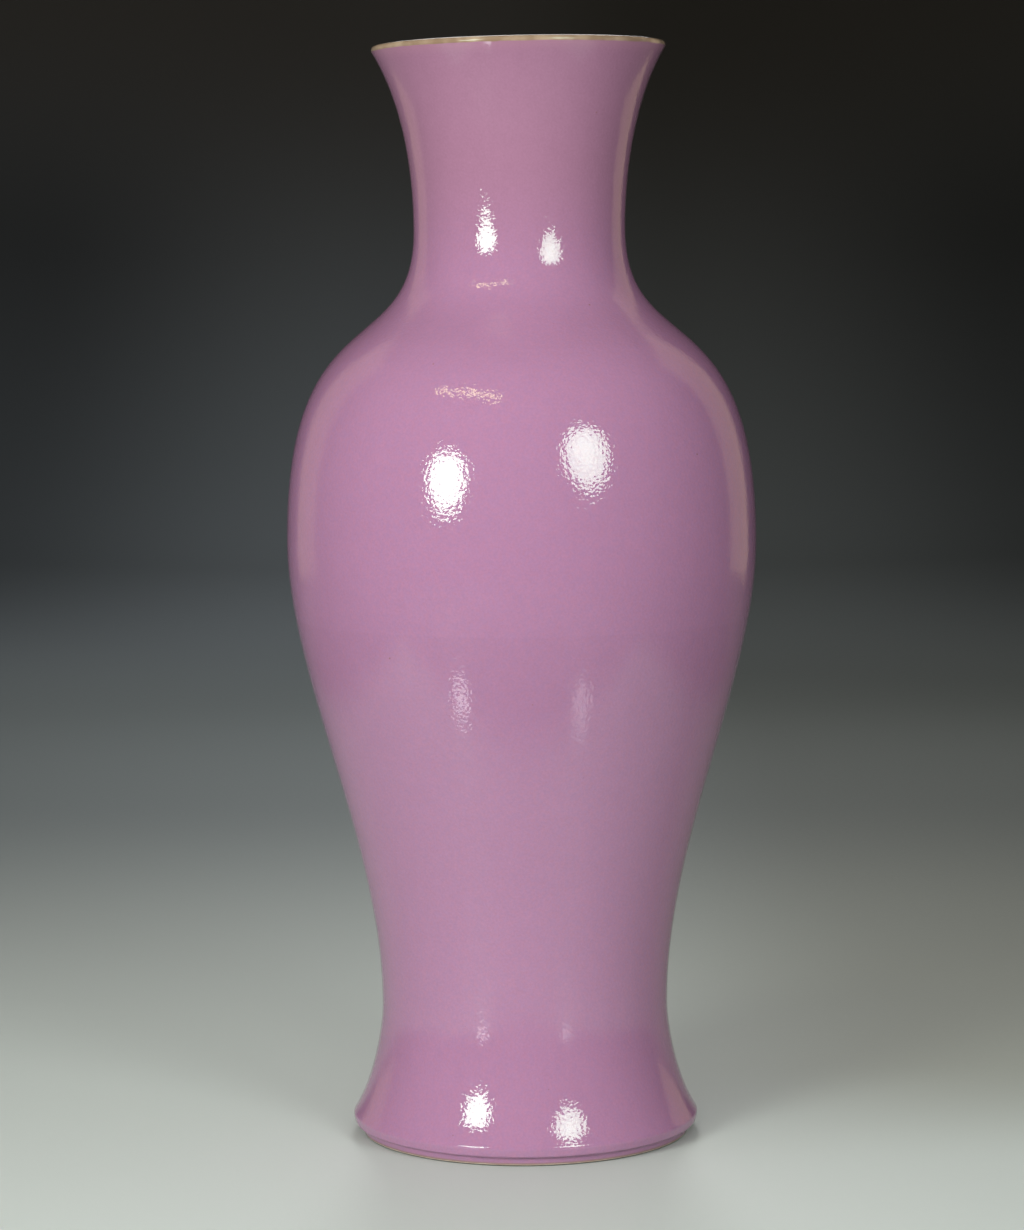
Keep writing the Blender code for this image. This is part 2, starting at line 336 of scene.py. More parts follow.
def glazed_outline():
    """The outer surface, from just under the lip down to the lower edge of the glaze."""
    lip = LIP_CENTRE + LIP_OUT * LIP_HALF
    neck = Vector((NECK_RADIUS, NECK_HEIGHT))
    belly = Vector((BELLY_RADIUS, BELLY_HEIGHT))
    waist = Vector((WAIST_RADIUS, WAIST_HEIGHT))
    edge = Vector((FLARE_RADIUS - EDGE_RADIUS, FLARE_HEIGHT))
    flare = arc(edge, EDGE_RADIUS, FLARE_SLOPE, -EDGE_TURN, 12)
    out = Vector((math.cos(EDGE_TURN), -math.sin(EDGE_TURN)))
    low = flare[-1] - Vector((math.sin(EDGE_TURN), math.cos(EDGE_TURN))) * EDGE_DROP
    flare += arc(low - out * EDGE_LOWER_RADIUS, EDGE_LOWER_RADIUS, -EDGE_TURN, -EDGE_UNDERCUT, 12)
    flare_up = Vector((-math.sin(FLARE_SLOPE), math.cos(FLARE_SLOPE)))
    ring_radius = FLARE_RADIUS - RING_SETBACK
    pool = Vector((ring_radius + POOL_RADIUS, flare[-1].y - POOL_RADIUS))
    ring_foot = Vector((ring_radius - RING_TAPER, GLAZE_LINE))
    points = [lip]
    points += curve(lip, lip - LIP_ALONG * LIP_PULL, neck + UP * NECK_PULL_UP, neck, 40)
    points += curve(neck, neck - UP * NECK_PULL_DOWN, belly + UP * BELLY_PULL_UP, belly, 66)
    points += curve(belly, belly - UP * BELLY_PULL_DOWN, waist + UP * WAIST_PULL_UP, waist, 70)
    points += curve(waist, waist - UP * WAIST_PULL_DOWN, flare[0] + flare_up * FLARE_PULL, flare[0], 22)
    points += flare[1:]
    points += arc(pool, POOL_RADIUS, math.pi / 2, math.pi, 6)
    return points + straight(points[-1], ring_foot, 8)


def wall_at(height):
    """Thickness of the bare porcelain at a height above the waist."""
    for (low, thick), (high, thin) in zip(WALLS, WALLS[1:]):
        if height <= high:
            return thick + (thin - thick) * max(0.0, (height - low) / (high - low))
    return WALLS[-1][1]


def slip_ridge(height):
    """How far the slip that was squeezed out of a joint stands up on the inside at a height."""
    away = min(abs(height - SHOULDER_SEAM), abs(height - BELLY_SEAM)) / SLIP_RIDGE_HALF
    return SLIP_RIDGE * (1.0 + math.cos(math.pi * min(away, 1.0))) / 2


def inner_outline():
    """The inner surface of the bare porcelain, from under the lip down the wall to the axis."""
    above = [p for p in GLAZED if p.y >= WAIST_HEIGHT]
    wall = inset(above, [GLAZE + wall_at(p.y) + slip_ridge(p.y) for p in above])
    foot = Vector((FLOOR_RADIUS, FLOOR_TOP))
    down = UP * FLOOR_CURVE * (wall[-1].y - foot.y)
    across = Vector((FLOOR_CURVE * (wall[-1].x - foot.x), 0.0))
    bend = curve(wall[-1], wall[-1] - down, foot + across, foot, 24)
    return wall + bend + straight(foot, Vector((0.0, foot.y)), 12)


def recess_outline():
    """The bare porcelain under the foot, from the standing face up the recess and in to the axis."""
    side = BODY[-1].x - RING_WIDTH
    lower = Vector((side + RING_ROUND, RING_ROUND))
    corner = arc(lower, RING_ROUND, -math.pi / 2, -math.pi, 6)
    top = Vector((side - RECESS_TAPER - RECESS_ROUND, RECESS_HEIGHT - RECESS_ROUND))
    fillet = arc(top, RECESS_ROUND, 0.0, math.pi / 2, 8)
    ceiling = straight(fillet[-1], Vector((0.0, RECESS_HEIGHT + RECESS_DOME)), 14)
    return corner + straight(corner[-1], fillet[0], 6) + fillet[1:] + ceiling


def coat_depths(points):
    """Depth of the outer coat at each point: it thins out over the last of the foot ring."""
    shares = [max(0.0, min(1.0, (p.y - GLAZE_LINE) / (2 * GLAZE))) for p in points]
    return [GLAZE_END + (GLAZE - GLAZE_END) * math.sqrt(share) for share in shares]


GLAZED = glazed_outline()
BODY = inset(GLAZED, coat_depths(GLAZED))
INNER = inner_outline()
RECESS = recess_outline()
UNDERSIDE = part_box("lower_body")[0].z


def lip_arc(radius):
    """The lip's round, from the inner side over the crest to where the lilac coat begins."""
    return arc(LIP_CENTRE, radius, math.pi - LIP_SLOPE, -LIP_SLOPE, 25)


def thrown_share(point):
    """How much of the throwing rings a point takes: all of them inside the wall, and none outside."""
    glazed = clip(GLAZED, 1, point.y - SAME, point.y + SAME)
    if not glazed or point.x > glazed[0].x - 2 * GLAZE:
        return 0.0
    (foot, full), (fading, gone) = RINGS_FROM, (CREST - drop for drop in RINGS_TO)
    rising = max(0.0, min(1.0, (point.y - foot) / (full - foot)))
    return rising * max(0.0, min(1.0, (gone - point.y) / (gone - fading)))


# ------------------------------------------------------------------ turning on the wheel


def turning_tree():
    """Turns an outline about the axis, with the errors of the wheel and the kiln."""
    tree = bpy.data.node_groups.new("turning", "GeometryNodeTree")
    given = {
        "Outline": "NodeSocketGeometry",
        "Faces round": "NodeSocketInt",
        "Oval": "NodeSocketFloat",
        "Rim lean": "NodeSocketFloat",
        "Wave": "NodeSocketFloat",
        "Ridge": "NodeSocketFloat",
        "Ridge pitch": "NodeSocketFloat",
        "Edge wander": "NodeSocketFloat",
        "Seed": "NodeSocketFloat",
        "Finish": "NodeSocketMaterial",
    }
    for name, kind in given.items():
        tree.interface.new_socket(name, in_out="INPUT", socket_type=kind)
    tree.interface.new_socket("Turned", in_out="OUTPUT", socket_type="NodeSocketGeometry")
    t = Tree(tree)
    outline = t.add("NodeGroupInput")
    faces, seed = outline.out("Faces round"), outline.out("Seed")

    columns = faces + 1.0
    rows = t.add("GeometryNodeAttributeDomainSize", None, {"Geometry": outline})
    grid = t.add("GeometryNodeMeshGrid", None, {"Vertices X": rows, "Vertices Y": columns})
    number = t.add("GeometryNodeInputIndex")
    row = t.math("FLOOR", (number + 0.5) / columns)
    angle = (number - row * columns) * math.tau / faces

    def on_outline(kind, value):
        inputs = {"Geometry": outline, "Value": value, "Index": row}
        return t.add("GeometryNodeSampleIndex", {"data_type": kind}, inputs)

    def fact(name):
        value = t.add("GeometryNodeInputNamedAttribute", {"data_type": "FLOAT"}, {"Name": name})
        return on_outline("FLOAT", value)

    place = on_outline("FLOAT_VECTOR", t.add("GeometryNodeInputPosition"))
    place = t.add("ShaderNodeSeparateXYZ", None, {0: place})
    radius, height = place.out("X"), place.out("Z")
    cosine, sine = t.math("COSINE", angle), t.math("SINE", angle)

    slow_place = {"X": cosine + seed, "Y": sine, "Z": height / WAVE_LENGTH}
    slow = t.noise(t.add("ShaderNodeCombineXYZ", None, slow_place), 1.0, 1.0)
    fast_place = {"X": cosine * 9.0 + seed, "Y": sine * 9.0}
    fast = t.noise(t.add("ShaderNodeCombineXYZ", None, fast_place), 1.0)
    turn = height / outline.out("Ridge pitch") + angle / math.tau + slow * 2.0
    ridge = t.math("SINE", turn * math.tau) * (0.75 + slow) * fact("thrown") * outline.out("Ridge")
    oval = t.math("COSINE", angle * 2.0 + OVAL_TURN) * outline.out("Oval")
    wave = slow * 2.0 * outline.out("Wave")
    pushed = radius + (oval + wave - ridge) * t.step(radius, 0.0, STILL_RADIUS)

    lean = t.step(height, LEAN_FROM, CREST) * outline.out("Rim lean") * cosine * radius / LIP_RADIUS
    at_lip = t.near(height, CREST - LIP_EDGE_DROP, LIP_EDGE_REACH) * t.step(radius, *LIP_EDGE_RADII)
    at_foot = t.step(height, 0.0, GLAZE_LINE) * (1.0 - t.step(height, GLAZE_LINE, FOOT_EDGE_TOP))
    at_foot = at_foot * t.step(radius, *FOOT_EDGE_RADII)
    wander = fast * 2.0 * outline.out("Edge wander") * (at_lip + at_foot)
    spot = {"X": pushed * cosine, "Y": pushed * sine, "Z": height + lean + wander}
    spot = t.add("ShaderNodeCombineXYZ", None, spot)

    shaped = t.add("GeometryNodeSetPosition", None, {"Geometry": grid, "Position": spot})
    kinds = {"data_type": "FLOAT", "domain": "POINT"}
    kept = {"Geometry": shaped, "Name": "from_lip", "Value": fact("from_lip")}
    kept = t.add("GeometryNodeStoreNamedAttribute", kinds, kept)
    merged = t.add("GeometryNodeMergeByDistance", None, {"Geometry": kept, "Distance": SAME})
    smooth = t.add("GeometryNodeSetShadeSmooth", None, {"Geometry": merged})
    real = t.add("GeometryNodeRealizeInstances", None, {"Geometry": smooth})
    coat = {"Geometry": real, "Material": outline.out("Finish")}
    t.add("NodeGroupOutput", None, {"Turned": t.add("GeometryNodeSetMaterial", None, coat)})
    return tree


def made_by(tree, name, mesh, values):
    """A plain mesh object: what a Geometry Nodes tree makes of a starting mesh."""
    start = bpy.data.objects.new(name + "_start", mesh)
    bpy.context.scene.collection.objects.link(start)
    modifier = start.modifiers.new("Making", "NODES")
    modifier.node_group = tree
    for socket in tree.interface.items_tree:
        if socket.in_out == "INPUT" and socket.name in values:
            modifier[socket.identifier] = values[socket.name]
    evaluated = start.evaluated_get(bpy.context.evaluated_depsgraph_get())
    plain = bpy.data.meshes.new_from_object(evaluated)
    plain.materials.clear()
    plain.materials.append(values["Finish"])
    plain.polygons.foreach_set("material_index", [0] * len(plain.polygons))
    made = bpy.data.objects.new(name, plain)
    bpy.context.scene.collection.objects.link(made)
    bpy.data.objects.remove(start)
    return made


TURNING = turning_tree()


def turned(name, outline, finish, node, slot, faces=FACES_SEEN):
    """A piece turned from an outline, which is closed unless it starts and ends on the axis.

    It stands for a CAD node, and takes the finish it is given; the slot is not used.
    """
    points = list(outline)
    if points[0].x > SAME or points[-1].x > SAME:
        points.append(points[0])
    points = with_crisp_corners(points)
    mesh = bpy.data.meshes.new(name)
    edges = [(i, i + 1) for i in range(len(points) - 1)]
    mesh.from_pydata([(p.x, 0.0, p.y) for p in points], edges, [])
    for fact, measure in (("from_lip", from_lip), ("thrown", thrown_share)):
        values = [measure(p) for p in points]
        mesh.attributes.new(fact, "FLOAT", "POINT").data.foreach_set("value", values)
    sizes = {
        "Faces round": faces,
        "Oval": OVAL,
        "Rim lean": RIM_LEAN,
        "Wave": WAVE,
        "Ridge": RING_RIDGE,
        "Ridge pitch": RING_PITCH,
        "Edge wander": WANDER,
        "Seed": WAVE_SEED,
        "Finish": finish,
    }
    piece = made_by(TURNING, name, mesh, sizes)
    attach(piece, "root")
    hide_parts(node)
    return piece


# ------------------------------------------------------------------ finishes

LILAC = (0.410, 0.200, 0.338)
LILAC_PINK = (0.445, 0.200, 0.322)
LILAC_BLUE = (0.380, 0.200, 0.356)
LILAC_HIGH = (0.378, 0.184, 0.284)
LILAC_THIN = (0.430, 0.215, 0.300)
LILAC_POOLED_AND_SHADED = (0.130, 0.030, 0.055)
BUFF = (0.300, 0.200, 0.130)
BUFF_PALE = (0.500, 0.370, 0.260)
WHITE_BISCUIT_AND_GLINT = (0.800, 0.770, 0.700)
LINING = (0.660, 0.680, 0.660)
LINING_POOLED = (0.520, 0.590, 0.580)
BISCUIT = (0.700, 0.620, 0.510)
BISCUIT_BURNT = (0.400, 0.270, 0.180)
SLIP_CLAY = (0.720, 0.680, 0.600)
SPECK = (0.240, 0.110, 0.080)
CONTACT_SHADE = (0.070, 0.060, 0.055)

# The orange peel, its slower swell, and the pinholes.
PEEL_LENGTH = 0.0014
PEEL = 0.000080
SWELL_LENGTH = 0.0050
SWELL = 0.000048
PINHOLE_SPACING, PINHOLE_RADIUS, PINHOLE = 0.0080, 0.0004, 0.00012

# Lengths of the enamel's colour changes, from the finest to the whole vase, and of its specks.
GRAIN_LENGTH = 0.0009
FLECK_LENGTH = 0.0016
MOTTLE_LENGTH = 0.0060
CLOUD_LENGTH = 0.060
TONE_LENGTH = 0.100
SPECK_SPACING, SPECK_RADIUS = 0.0180, 0.0006

# Where the lilac's colour is changed: darker and less blue up the neck, below the belly seam, and in the
# corner over the ring, where pooled glaze and painted shade darken it.
PALER_FROM, PALER_TO = 0.345, 0.405
SEAM_HALF = 0.0006
FADE_FROM, FADE_TO = 0.020, 0.080
CORNER_DROP, CORNER_REACH = 0.0004, 0.0011
CORNER_FROM, CORNER_TO = 0.0018, 0.0024
BARE_RISE = 0.0012

# The crackle under the foot, the biscuit's grain, stains and burnt edge, and the painted contact shadow
# along the foot of the ring.
CRACKLE_SPACING = 0.011
CRACK_FROM, CRACK_TO, CRACK_DEPTH = 0.00005, 0.00025, 0.00002
BISCUIT_GRAIN, BISCUIT_RELIEF = 0.00035, 0.00008
STAIN_LENGTH = 0.012
BURNT_FROM, BURNT_TO = 0.0030, 0.0060
RIM_SHADE_FROM, RIM_SHADE_TO, RIM_SHADE_HEIGHT = 0.0012, 0.0004, 0.0003
PIT_SPACING, PIT_RADIUS = 0.0050, 0.0004

# The clear coat's thin and thick places, the buff's pale ones, and the slip's smears.
LINING_CLOUD = 0.030
BASE_CLOUD = 0.020
BUFF_CLOUD = 0.0100
SMEAR_LENGTH, SMEAR_RELIEF = 0.0060, 0.00015

# The coats at the lip: where the lilac begins and thins, and where the peel dies away.
ENAMEL_EDGE = 0.0024
EDGE_WANDER = 0.0006
EDGE_TILT = 0.0060
THIN_FROM, THIN_TO = 0.0020, 0.0075
CALM_FROM, CALM_TO = 0.0010, 0.0060
BUFF_FROM, BUFF_TO = 0.0045, 0.0010
FOOT_EDGE = BODY[-1].x
# The place of a painted glint on the left end of the lip.
LIP_GLINT_SPOT = (0.0035 - LIP_RADIUS, -0.0100, CREST - 0.0028)


def finish(name, look, **fixed):
    """A material whose look gives its colour, its roughness and the height of its relief."""
    made = bpy.data.materials.new(name)
    made.use_nodes = True
    made.node_tree.nodes.clear()
    t = Tree(made.node_tree)
    colour, roughness, height = look(t, t.add("ShaderNodeTexCoord").out("Object"))
    normal = t.add("ShaderNodeBump", None, {"Strength": 1.0, "Distance": 1.0, "Height": height})
    inputs = {"Base Color": colour, "Roughness": roughness, "Normal": normal}
    inputs.update({name.replace("_", " "): value for name, value in fixed.items()})
    shader = t.add("ShaderNodeBsdfPrincipled", None, inputs)
    t.add("ShaderNodeOutputMaterial", None, {"Surface": shader})
    return made


def parts(t, place):
    return t.add("ShaderNodeSeparateXYZ", None, {0: place})


def from_axis(t, place):
    """Distance from the axis of the wheel."""
    return t.vector("LENGTH", t.vector("MULTIPLY", place, (1.0, 1.0, 0.0)))


def peel(t, place):
    """The relief of a fired enamel: an orange peel, with a pinhole here and there."""
    skin = t.noise(place, PEEL_LENGTH, 1.0) * PEEL + t.noise(place, SWELL_LENGTH, 1.0) * SWELL
    return skin - t.dots(place, PINHOLE_SPACING, PINHOLE_RADIUS) * PINHOLE


def enamel(t, place):
    """Colour, roughness and relief of the lilac enamel."""
    x, z = parts(t, place).out("X"), parts(t, place).out("Z")
    fleck = t.step(t.noise(place, FLECK_LENGTH, 2.0, 0.6), -0.22, 0.22)
    colour = t.mix(fleck, LILAC_PINK, LILAC_BLUE)
    colour = t.mix(0.45 + t.noise(place, CLOUD_LENGTH, 3.0) * 0.5, colour, LILAC)
    colour = t.mix(t.step(z, PALER_FROM, PALER_TO), colour, LILAC_HIGH)
    tone = 1.0 + t.noise(place, GRAIN_LENGTH, 2.0, 0.7) * 0.22
    tone = tone + t.noise(place, MOTTLE_LENGTH, 4.0, 0.6) * 0.08
    tone = tone + t.noise(place, TONE_LENGTH, 1.0) * 0.04
    below = t.step(z, BELLY_SEAM + SEAM_HALF, BELLY_SEAM - SEAM_HALF)
    below = below - t.step(z, BELLY_SEAM - FADE_FROM, BELLY_SEAM - FADE_TO)
    tone = tone - below * 0.030
    tone = tone + t.near(z, SHOULDER_SEAM, 2 * SEAM_HALF) * 0.015
    grey = t.add("ShaderNodeCombineColor", None, {0: tone, 1: tone, 2: tone})
    colour = t.mix(1.0, colour, grey, "MULTIPLY")
    flat = from_axis(t, place)
    # Pooled glaze in the crease under the flare's edge, with painted shade there as well: the crease is
    # darkened, and more so towards +x, where the light is weaker.
    corner = t.near(z, UNDERSIDE - CORNER_DROP, CORNER_REACH)
    corner = corner * t.step(flat, FOOT_EDGE + CORNER_TO, FOOT_EDGE + CORNER_FROM)
    colour = t.mix(corner * (0.88 + x * 1.8), colour, LILAC_POOLED_AND_SHADED)
    colour = t.mix(t.dots(place, SPECK_SPACING, SPECK_RADIUS), colour, SPECK)
    foot = t.step(z, GLAZE_LINE + BARE_RISE, GLAZE_LINE)
    colour = t.mix(foot * 0.8, colour, BUFF)
    return colour, 0.030 + fleck * 0.015, peel(t, place)


def lip_reach(t):
    """Distance round the lip from its top, as each piece keeps it."""
    attribute = t.add("ShaderNodeAttribute", {"attribute_name": "from_lip"})
    return attribute.out("Fac")


def outer_look(t, place):
    """The lilac coat, which is thinner and pinker just under the lip."""
    colour, roughness, height = enamel(t, place)
    reach = lip_reach(t)
    thin = 1.0 - t.step(reach, THIN_FROM, THIN_TO)
    colour = t.mix(thin * 0.6, colour, LILAC_THIN)
    return colour, roughness, height * t.step(reach, CALM_FROM, CALM_TO)


def lining_look(t, place):
    """The clear coat: it is buff where it thins over the lip, and then runs under the lilac."""
    lilac, roughness, height = enamel(t, place)
    reach, x = lip_reach(t), parts(t, place).out("X")
    deep = t.step(t.noise(place, LINING_CLOUD, 3.0), -0.25, 0.25)
    colour = t.mix(deep, LINING, LINING_POOLED)
    pale = t.step(t.noise(place, BUFF_CLOUD, 2.0), -0.10, 0.25)
    buff = t.mix(pale, BUFF, BUFF_PALE)
    colour = t.mix(t.step(reach, -BUFF_FROM, -BUFF_TO), colour, buff)
    edge = ENAMEL_EDGE + t.noise(place, MOTTLE_LENGTH, 2.0) * EDGE_WANDER - x * EDGE_TILT
    lilac = t.mix(0.6, lilac, LILAC_THIN)
    colour = t.mix(t.step(reach - edge, -0.0005, 0.0006), colour, lilac)
    # Painted glint: a small whitish spot at the left end of the lip, where it catches a grazing
    # reflection.
    bare = 1.0 - t.step(t.vector("DISTANCE", place, LIP_GLINT_SPOT), 0.0004, 0.0016)
    smooth = t.step(t.math("ABSOLUTE", reach), CALM_FROM, CALM_TO)
    return t.mix(bare, colour, WHITE_BISCUIT_AND_GLINT), roughness, height * smooth


def base_look(t, place):
    """The clear coat under the foot, with a wide crackle."""
    values = {"Vector": place, "Scale": 1.0 / CRACKLE_SPACING, "Randomness": 1.0}
    crack = t.add("ShaderNodeTexVoronoi", {"feature": "DISTANCE_TO_EDGE"}, values) * CRACKLE_SPACING
    line = 1.0 - t.step(crack, CRACK_FROM, CRACK_TO)
    deep = t.step(t.noise(place, BASE_CLOUD, 3.0), -0.25, 0.25)
    colour = t.mix(deep, LINING, LINING_POOLED)
    colour = t.mix(line * 0.45, colour, BISCUIT_BURNT)
    return colour, 0.09 + deep * 0.03, peel(t, place) - line * CRACK_DEPTH


def biscuit_look(t, place):
    """Fired porcelain without glaze: fine grain, and a burnt edge where the glaze stops."""
    z = parts(t, place).out("Z")
    grain = t.noise(place, BISCUIT_GRAIN, 3.0, 0.7)
    stain = t.step(t.noise(place, STAIN_LENGTH, 4.0, 0.6), -0.20, 0.25)
    colour = t.mix(stain * 0.5, BISCUIT, WHITE_BISCUIT_AND_GLINT)
    burnt = (1.0 - t.step(z, BURNT_FROM, BURNT_TO)) * (0.35 + stain * 0.45)
    colour = t.mix(burnt, colour, BISCUIT_BURNT)
    # Painted contact shadow: the outer edge of the standing face is darkened where the ring meets the
    # board.
    shaded_rim = t.step(from_axis(t, place), FOOT_EDGE - RIM_SHADE_FROM, FOOT_EDGE - RIM_SHADE_TO)
    shaded_rim = shaded_rim * t.step(z, RIM_SHADE_HEIGHT + RIM_SHADE_TO, RIM_SHADE_HEIGHT)
    colour = t.mix(shaded_rim, colour, CONTACT_SHADE)
    colour = t.mix(t.dots(place, PIT_SPACING, PIT_RADIUS) * 0.7, colour, SPECK)
    return colour, 0.70 + grain * 0.30, grain * BISCUIT_RELIEF


def slip_look(t, place):
    """Slip: softer and smoother than the thrown clay beside it."""
    smear = t.noise(place, SMEAR_LENGTH, 4.0, 0.6)
    colour = t.mix(t.step(smear, -0.25, 0.25), SLIP_CLAY, BISCUIT)
    return colour, 0.78 + smear * 0.15, smear * SMEAR_RELIEF


ENAMEL = finish("fired_lilac_enamel", outer_look, IOR=1.60)
CLEAR = finish("fired_clear_glaze", lining_look, IOR=1.55)
BASE = finish("crackled_clear_glaze", base_look, IOR=1.55)
PORCELAIN = finish("biscuit_porcelain", biscuit_look, IOR=1.45)
SLIP_FINISH = finish("fired_slip", slip_look, IOR=1.45)

# ------------------------------------------------------------------ pieces of the vase


def wall_between(low, high):
    """A thrown section's outline between two heights: down the outer side, and up the inner one."""
    return clip(BODY, 1, low, high) + clip(INNER, 1, low, high)[::-1]


def thrown_sections():
    """The neck, the upper body and the lower body, with the seat that takes the floor."""
    half = SLIP / 2
    hidden = {"finish": PORCELAIN, "slot": "porcelain_body", "faces": FACES_HIDDEN}
    neck = lip_arc(LIP_HALF - GLAZE) + wall_between(SHOULDER_SEAM + half, CREST)
    turned("thrown_neck", neck, node="neck", **hidden)
    upper = wall_between(BELLY_SEAM + half, SHOULDER_SEAM - half)
    turned("thrown_upper_body", upper, node="upper_body", **hidden)
    seat = FLOOR_RADIUS + half
    under = clip(clip(RECESS, 1, UNDERSIDE, RECESS_HEIGHT + RECESS_DOME), 0, seat, FLARE_RADIUS)
    below = [p for p in INNER if p.y < WAIST_HEIGHT + SAME]
    above = clip(below, 0, seat, FLARE_RADIUS)[::-1]
    wall = clip(INNER, 1, WAIST_HEIGHT, BELLY_SEAM - half)[::-1]
    outer = clip(BODY, 1, UNDERSIDE, BELLY_SEAM - half)
    turned("thrown_lower_body", outer + under + above + wall, node="lower_body", **hidden)


def foot_and_floor():
    """The floor disc, and the ring that the vase stands on."""
    half = SLIP / 2
    bare = {"finish": PORCELAIN, "slot": "porcelain_body"}
    below = [p for p in INNER if p.y < WAIST_HEIGHT + SAME]
    disc = clip(below, 0, 0.0, FLOOR_RADIUS - half)[::-1] + clip(RECESS, 0, 0.0, FLOOR_RADIUS - half)
    turned("floor_disc", disc, node="floor", faces=FACES_HIDDEN, **bare)
    high = UNDERSIDE - SLIP
    edge = arc(Vector((BODY[-1].x - RING_ROUND, RING_ROUND)), RING_ROUND, 0.0, -math.pi / 2, 6)
    recess = clip(RECESS, 1, 0.0, high)
    ring = clip(BODY, 1, GLAZE_LINE, high) + edge + straight(edge[-1], recess[0], 6) + recess
    turned("turned_foot_ring", ring, node="foot_ring", **bare)


def slip_joints():
    """The rings of slip: three level ones in the wall and the foot, and an upright one round the floor."""
    soft = {"finish": SLIP_FINISH, "slot": "luting_slip", "faces": FACES_HIDDEN}
    half = SLIP / 2 - HAIR
    for name, height in (("shoulder", SHOULDER_SEAM), ("belly", BELLY_SEAM)):
        turned(name + "_slip", wall_between(height - half, height + half), node=name + "_seam", **soft)
    low, high = UNDERSIDE - SLIP + HAIR, UNDERSIDE - HAIR
    foot = clip(BODY, 1, low, high) + clip(RECESS, 1, low, high)
    turned("foot_slip", foot, node="foot_seam", **soft)
    near, far = FLOOR_RADIUS - half, FLOOR_RADIUS + half
    below = [p for p in INNER if p.y < WAIST_HEIGHT + SAME]
    floor = clip(below, 0, near, far)[::-1] + clip(RECESS, 0, near, far)
    turned("floor_slip", floor, node="floor_seam", **soft)


def coats():
    """The lilac coat, the clear coat inside and over the lip, and the clear coat under the foot."""
    back = thinned(inset(GLAZED, [d - HAIR for d in coat_depths(GLAZED)]), 0.004)
    turned("lilac_coat", GLAZED + back[::-1], ENAMEL, "outer_glaze", "lilac_enamel")
    face = inset(INNER, [GLAZE] * len(INNER))
    back = thinned(inset(INNER, [HAIR] * len(INNER)), 0.004)
    face[-1].x = back[-1].x = 0.0
    under = lip_arc(LIP_HALF - GLAZE + HAIR)[::-1]
    lining = face[:0:-1] + lip_arc(LIP_HALF) + under + back[1:]
    turned("clear_coat", lining, CLEAR, "inner_glaze", "clear_glaze")
    lined = RECESS[6:]
    back = inset(lined, [-HAIR] * len(lined))
    face = inset(lined, [-GLAZE] * len(lined))
    face[-1].x = back[-1].x = 0.0
    turned("clear_base_coat", back[::-1] + face, BASE, "base_glaze", "clear_glaze")


thrown_sections()
foot_and_floor()
slip_joints()
coats()

# ------------------------------------------------------------------ stage, lights and camera

TABLE_FLAT = 1.4
TABLE_REACH = 3.4
TABLE_RISE = 2.4
# Colours of the board: pale near the vase, then painted falloff behind it, darker in the middle, with a
# painted lit band and a dark far part; and the tint of the painted shadow of the vase.
TABLE_PALE = (0.612, 0.660, 0.625)
TABLE_MIDDLE = (0.218, 0.245, 0.250)
TABLE_LIT_BAND = (0.510, 0.574, 0.642)
TABLE_FAR = (0.098, 0.088, 0.079)
TABLE_SHADE = (0.640, 0.620, 0.575)

COOL = (0.96, 1.00, 0.98)
GLINT = (0.74, 1.00, 0.80)
WARM = (1.0, 0.70, 0.44)
STRAW = (1.0, 0.96, 0.45)
AIM = Vector((0.0, 0.0, 0.24))
ROOM_COLOUR = (1.0, 0.92, 0.80, 1.0)
ROOM_LIGHT = 0.05

FILM_WIDTH = 36.0
LENS = 105.8
CAMERA_PLACE = (-0.0042, -1.491, 0.3595)
CAMERA_TILT = math.radians(5.5)
CAMERA_ROLL = math.radians(-0.42)
# The painted shade past the board's ends, where the room beyond is unlit.
PAST_BOARD_SHADE = (0.085, 0.088, 0.086)


def table_look(t, place):
    """A pale board under the vase, with painted light: it fades behind as painted falloff, with a painted
    lit band, is darkened at the sides behind and by a painted shadow of the vase to the right, and is
    painted dark past its ends in front and at the sides, as shade of the unlit room.
    """
    x, y, z = (parts(t, place).out(axis) for axis in "XYZ")
    back = y + z
    # Painted falloff: pale near the vase, darker behind, a painted lit band, and dark far off.
    colour = t.mix(t.step(y, 0.05, 0.95), TABLE_PALE, TABLE_MIDDLE)
    colour = t.mix(t.step(back, 1.40, 2.45), colour, TABLE_LIT_BAND)
    colour = t.mix(t.step(back, 2.15, 3.85), colour, TABLE_FAR)
    # Painted shade at the sides behind the vase.
    aside = t.step(t.math("ABSOLUTE", x - 0.02), 0.20, 0.60) * t.step(back, 1.5, 2.3)
    colour = t.mix(aside * t.step(back, 3.8, 3.2) * 0.60, colour, (0.0, 0.0, 0.0))
    # Painted shadow of the vase, falling to the right behind it.
    shade = t.step(x, -0.06, 0.20) * t.step(y, -0.08, 0.12)
    colour = t.mix(shade, colour, TABLE_SHADE, "MULTIPLY")
    # Past the board's ends in front and at the sides, the floor is painted dark as shade of the unlit
    # room.
    board = t.step(t.math("ABSOLUTE", x), 0.54, 0.44) + t.step(y, 0.40, 0.90)
    board = t.math("MINIMUM", board, 1.0) * t.step(y, -0.33, -0.26)
    colour = t.mix(board, PAST_BOARD_SHADE, colour)
    return colour, 0.60 + t.noise(place, 0.003) * 0.1, t.noise(place, 0.0015, 3.0) * 0.00005


